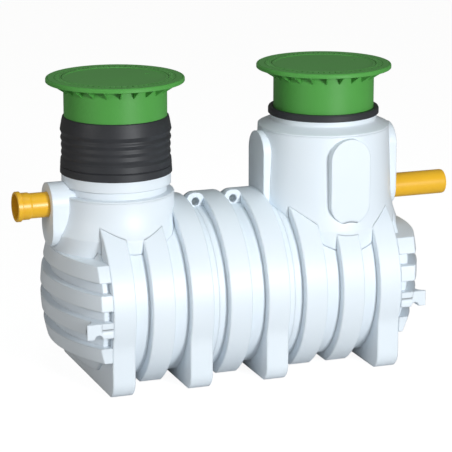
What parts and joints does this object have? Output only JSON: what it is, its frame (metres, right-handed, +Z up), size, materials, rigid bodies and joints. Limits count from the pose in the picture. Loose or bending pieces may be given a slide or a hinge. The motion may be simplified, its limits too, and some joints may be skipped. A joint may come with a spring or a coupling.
{
  "type": "grease separator",
  "caption": "Ribbed plastic underground tank with two domes, telescopic round covers with lift-off lids, a socketed inlet pipe and a plain outlet pipe.",
  "frame": {"origin": "on the floor under the middle of the whole length, on the tank's centre plane", "axes": "+X along the tank with the flow, from inlet to outlet; +Z up; the picture's camera stands on the -Y side"},
  "size_m": [2.934, 1.2, 1.936],
  "materials": {
    "tank_plastic": "white rotationally moulded polyethylene, satin",
    "cover_plastic": "green moulded plastic, satin",
    "lid_plastic": "green moulded plastic, satin",
    "seal_rubber": "black rubber",
    "pipe_plastic": "yellow-orange drain pipe plastic"
  },
  "bodies": {
    "tank": {"inlet_end": "tank_plastic", "barrel_inlet_bay": "tank_plastic", "barrel_middle_bay": "tank_plastic", "barrel_outlet_bay": "tank_plastic", "outlet_end": "tank_plastic", "inlet_front_lug": "tank_plastic", "outlet_front_lug": "tank_plastic", "lifting_eye_inlet_side": "tank_plastic", "lifting_eye_outlet_side": "tank_plastic", "inlet_dome": "tank_plastic", "inlet_neck": "tank_plastic", "inlet_boss": "tank_plastic", "outlet_dome": "tank_plastic", "outlet_neck": "tank_plastic", "outlet_end_boss": "tank_plastic", "outlet_rear_boss": "tank_plastic", "outlet_inner_boss": "tank_plastic", "outlet_front_boss": "tank_plastic", "inlet_pipe": "pipe_plastic", "outlet_pipe": "pipe_plastic", "inlet_sleeve": "seal_rubber", "outlet_seal_ring": "seal_rubber"},
    "inlet_cover": {"inlet_riser_tube": "cover_plastic", "inlet_riser_flange": "cover_plastic", "inlet_riser_gussets": "cover_plastic"},
    "inlet_lid_body": {"inlet_lid": "lid_plastic"},
    "outlet_cover": {"outlet_riser_tube": "cover_plastic", "outlet_riser_flange": "cover_plastic", "outlet_riser_gussets": "cover_plastic"},
    "outlet_lid_body": {"outlet_lid": "lid_plastic"}
  },
  "joints": [
    {"name": "inlet_cover_slide", "type": "slide", "parent": "tank", "child": "inlet_cover", "axis": [0, 0, 1], "range_m": [-0.15, 0.05]},
    {"name": "inlet_lid_lift", "type": "slide", "parent": "inlet_cover", "child": "inlet_lid_body", "axis": [0, 0, 1], "range_m": [0, 0.3]},
    {"name": "outlet_cover_slide", "type": "slide", "parent": "tank", "child": "outlet_cover", "axis": [0, 0, 1], "range_m": [-0.15, 0.05]},
    {"name": "outlet_lid_lift", "type": "slide", "parent": "outlet_cover", "child": "outlet_lid_body", "axis": [0, 0, 1], "range_m": [0, 0.3]}
  ]
}
